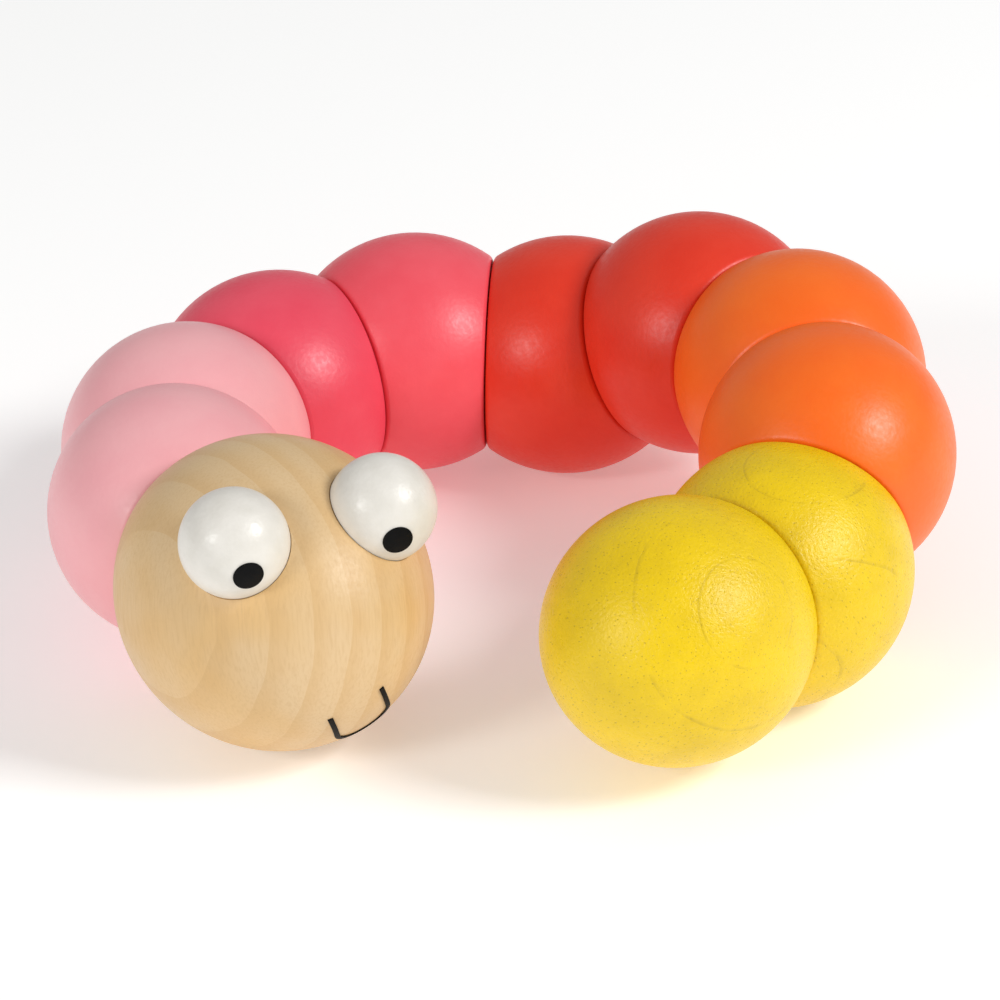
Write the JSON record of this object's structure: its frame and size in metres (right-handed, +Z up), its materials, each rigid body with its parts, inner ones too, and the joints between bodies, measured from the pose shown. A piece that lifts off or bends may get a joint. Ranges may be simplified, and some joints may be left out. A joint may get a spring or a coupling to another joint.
{
  "type": "wooden twisting worm toy",
  "caption": "Toy worm of a plain wooden ball head with eyes and a row of painted wedge-sawn ball beads, joined by pivots that let each bead turn on the next.",
  "frame": {"origin": "on the table below the middle of the curled worm's box, with the worm at rest on its head and two beads", "axes": "+Z up from the table; -Y towards the side that the face looks to; +X from the head side of the open ring towards the tail side"},
  "size_m": [0.0904, 0.0914, 0.0318],
  "materials": {
    "bare_wood": "clear satin lacquer over turned wood",
    "eye_enamel": "satin enamel",
    "black_print": "pad-printed ink",
    "light_pink_paint": "satin paint over turned wood",
    "raspberry_paint": "satin paint over turned wood",
    "hot_pink_paint": "satin paint over turned wood",
    "red_paint": "satin paint over turned wood",
    "orange_paint": "satin paint over turned wood",
    "yellow_stain": "satin stain over turned wood",
    "nylon": "moulded, matt"
  },
  "bodies": {
    "head": {"head": "bare_wood", "eye_left": "eye_enamel", "eye_right": "eye_enamel", "pupil_left": "black_print", "pupil_right": "black_print", "smile": "black_print", "pin_1": "nylon"},
    "bead_1": {"bead_1": "light_pink_paint", "bush_1": "nylon", "pin_2": "nylon"},
    "bead_2": {"bead_2": "light_pink_paint", "bush_2": "nylon", "pin_3": "nylon"},
    "bead_3": {"bead_3": "raspberry_paint", "bush_3": "nylon", "pin_4": "nylon"},
    "bead_4": {"bead_4": "hot_pink_paint", "bush_4": "nylon", "pin_5": "nylon"},
    "bead_5": {"bead_5": "red_paint", "bush_5": "nylon", "pin_6": "nylon"},
    "bead_6": {"bead_6": "red_paint", "bush_6": "nylon", "pin_7": "nylon"},
    "bead_7": {"bead_7": "orange_paint", "bush_7": "nylon", "pin_8": "nylon"},
    "bead_8": {"bead_8": "orange_paint", "bush_8": "nylon", "pin_9": "nylon"},
    "bead_9": {"bead_9": "yellow_stain", "bush_9": "nylon", "pin_10": "nylon"},
    "tail": {"tail_bead": "yellow_stain", "bush_10": "nylon"}
  },
  "joints": [
    {"name": "joint_1", "type": "hinge", "parent": "bead_1", "child": "head", "pos_m": [-0.02848, -0.01183, 0.01493], "axis": [0.5, -0.866, 0.0056], "continuous": true},
    {"name": "joint_2", "type": "hinge", "parent": "bead_2", "child": "bead_1", "pos_m": [-0.03247, 0.00364, 0.01442], "axis": [-0.0241, -0.9981, 0.057], "continuous": true},
    {"name": "joint_3", "type": "hinge", "parent": "bead_3", "child": "bead_2", "pos_m": [-0.02781, 0.0189, 0.01348], "axis": [-0.5428, -0.838, 0.0553], "continuous": true},
    {"name": "joint_4", "type": "hinge", "parent": "bead_4", "child": "bead_3", "pos_m": [-0.01586, 0.02952, 0.01324], "axis": [-0.8992, -0.4367, -0.0262], "continuous": true},
    {"name": "joint_5", "type": "hinge", "parent": "bead_5", "child": "bead_4", "pos_m": [-0.00014, 0.03242, 0.01301], "axis": [-0.9943, 0.0917, 0.0544], "continuous": true},
    {"name": "joint_6", "type": "hinge", "parent": "bead_5", "child": "bead_6", "pos_m": [0.01507, 0.02807, 0.01531], "axis": [0.8358, -0.4349, 0.3352], "continuous": true},
    {"name": "joint_7", "type": "hinge", "parent": "bead_6", "child": "bead_7", "pos_m": [0.02676, 0.01768, 0.01861], "axis": [0.5695, -0.8198, 0.0601], "continuous": true},
    {"name": "joint_8", "type": "hinge", "parent": "bead_7", "child": "bead_8", "pos_m": [0.03208, 0.00262, 0.01872], "axis": [0.0677, -0.9965, -0.0481], "continuous": true},
    {"name": "joint_9", "type": "hinge", "parent": "bead_8", "child": "bead_9", "pos_m": [0.02966, -0.01284, 0.01544], "axis": [-0.3641, -0.8635, -0.349], "continuous": true},
    {"name": "joint_10", "type": "hinge", "parent": "bead_9", "child": "tail", "pos_m": [0.02117, -0.02621, 0.01326], "axis": [-0.6605, -0.7454, 0.0902], "continuous": true}
  ]
}
